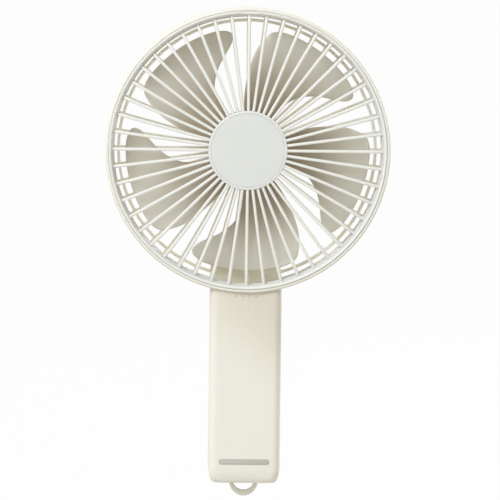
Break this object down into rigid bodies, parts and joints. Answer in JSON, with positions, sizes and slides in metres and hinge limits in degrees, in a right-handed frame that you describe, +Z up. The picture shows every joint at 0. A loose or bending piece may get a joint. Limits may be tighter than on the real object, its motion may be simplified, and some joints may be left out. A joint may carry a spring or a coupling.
{
  "type": "hand crank fan",
  "caption": "Palm-held fan with a round grilled head, a bladed impeller, a flat-sided handle, a fold-out crank that drives a geared generator, and a hanging strap loop.",
  "frame": {"origin": "centre of the handle's flat base", "axes": "+Z up along the handle to the head, -Y the way the fan blows, +X to the right seen from the front"},
  "size_m": [0.1142, 0.0347, 0.1968],
  "materials": {
    "shell": "cream moulded plastic, fine satin",
    "grille": "off-white moulded plastic, satin",
    "disc": "light cool grey plastic, fine matt",
    "blades": "beige moulded plastic, satin",
    "trim": "grey moulded plastic, matt",
    "lights": "smoked clear plastic, unlit",
    "gears": "natural acetal",
    "board": "green solder mask",
    "switch": "black plastic",
    "cell": "shrink wrap",
    "foam": "foam pad",
    "lead": "insulated wire",
    "steel": "plain steel",
    "brass": "turned brass"
  },
  "bodies": {
    "fan": {"handle_front_shell": "shell", "handle_rear_shell": "shell", "head_shell": "shell", "rear_guard": "shell", "rear_hub_cap": "shell", "front_grille": "grille", "grille_disc": "disc", "grip_inlay": "trim", "neck_screw_left": "steel", "neck_screw_right": "steel", "base_screw_left": "steel", "base_screw_right": "steel", "fan_motor": "steel", "motor_cup": "shell", "motor_lead": "lead", "motor_screw_1": "steel", "motor_screw_2": "steel", "motor_screw_3": "steel", "crank_bush": "brass", "gear_plate": "steel", "idler_axle": "steel", "generator": "steel", "plate_screw_low_left": "steel", "plate_screw_low_right": "steel", "plate_screw_high_left": "steel", "plate_screw_high_right": "steel", "battery_cell": "cell", "battery_pad": "foam", "control_board": "board", "led_light_pipes": "lights", "tact_switch": "switch", "usb_socket": "steel", "usb_board": "board"},
    "impeller": {"fan_impeller": "blades", "motor_shaft": "steel", "impeller_nut": "brass"},
    "crank": {"crank_shaft": "steel", "crank_gear": "gears", "crank_arm": "shell", "crank_screw": "steel", "knob_pin": "steel"},
    "knob_pivot": {"knob_swivel": "trim", "knob_washer": "steel"},
    "knob": {"knob_grip": "grille"},
    "idler": {"idler_gear": "gears"},
    "generator_rotor": {"generator_shaft": "steel", "generator_pinion": "brass"},
    "button": {"power_button": "trim"},
    "loop": {"strap_loop": "trim"}
  },
  "joints": [
    {"name": "impeller_spin", "type": "hinge", "parent": "fan", "child": "impeller", "pos_m": [0, 0, 0.1336], "axis": [0, 1, 0], "continuous": true},
    {"name": "crank_spin", "type": "hinge", "parent": "fan", "child": "crank", "pos_m": [0, 0, 0.034], "axis": [0, 1, 0], "continuous": true},
    {"name": "knob_fold", "type": "hinge", "parent": "crank", "child": "knob_pivot", "pos_m": [0, 0.0166, 0.006], "axis": [-1, 0, 0], "range_deg": [0, 90]},
    {"name": "knob_spin", "type": "hinge", "parent": "knob_pivot", "child": "knob", "pos_m": [0, 0.0166, 0.018], "axis": [0, 0, 1], "continuous": true},
    {"name": "idler_spin", "type": "hinge", "parent": "fan", "child": "idler", "pos_m": [0, 0, 0.04835], "axis": [0, 1, 0], "continuous": true},
    {"name": "generator_spin", "type": "hinge", "parent": "fan", "child": "generator_rotor", "pos_m": [0, 0, 0.06095], "axis": [0, 1, 0], "continuous": true},
    {"name": "button_press", "type": "slide", "parent": "fan", "child": "button", "axis": [0, -1, 0], "range_m": [0, 0.0008], "stiffness_N_per_m": 1200},
    {"name": "loop_swing", "type": "hinge", "parent": "fan", "child": "loop", "pos_m": [0, 0, 0.0029], "axis": [1, 0, 0], "range_deg": [-20, 20]}
  ],
  "couplings": [
    {"joint": "idler_spin", "follows": "crank_spin", "ratio": -3.5556},
    {"joint": "generator_spin", "follows": "crank_spin", "ratio": 10.667}
  ]
}
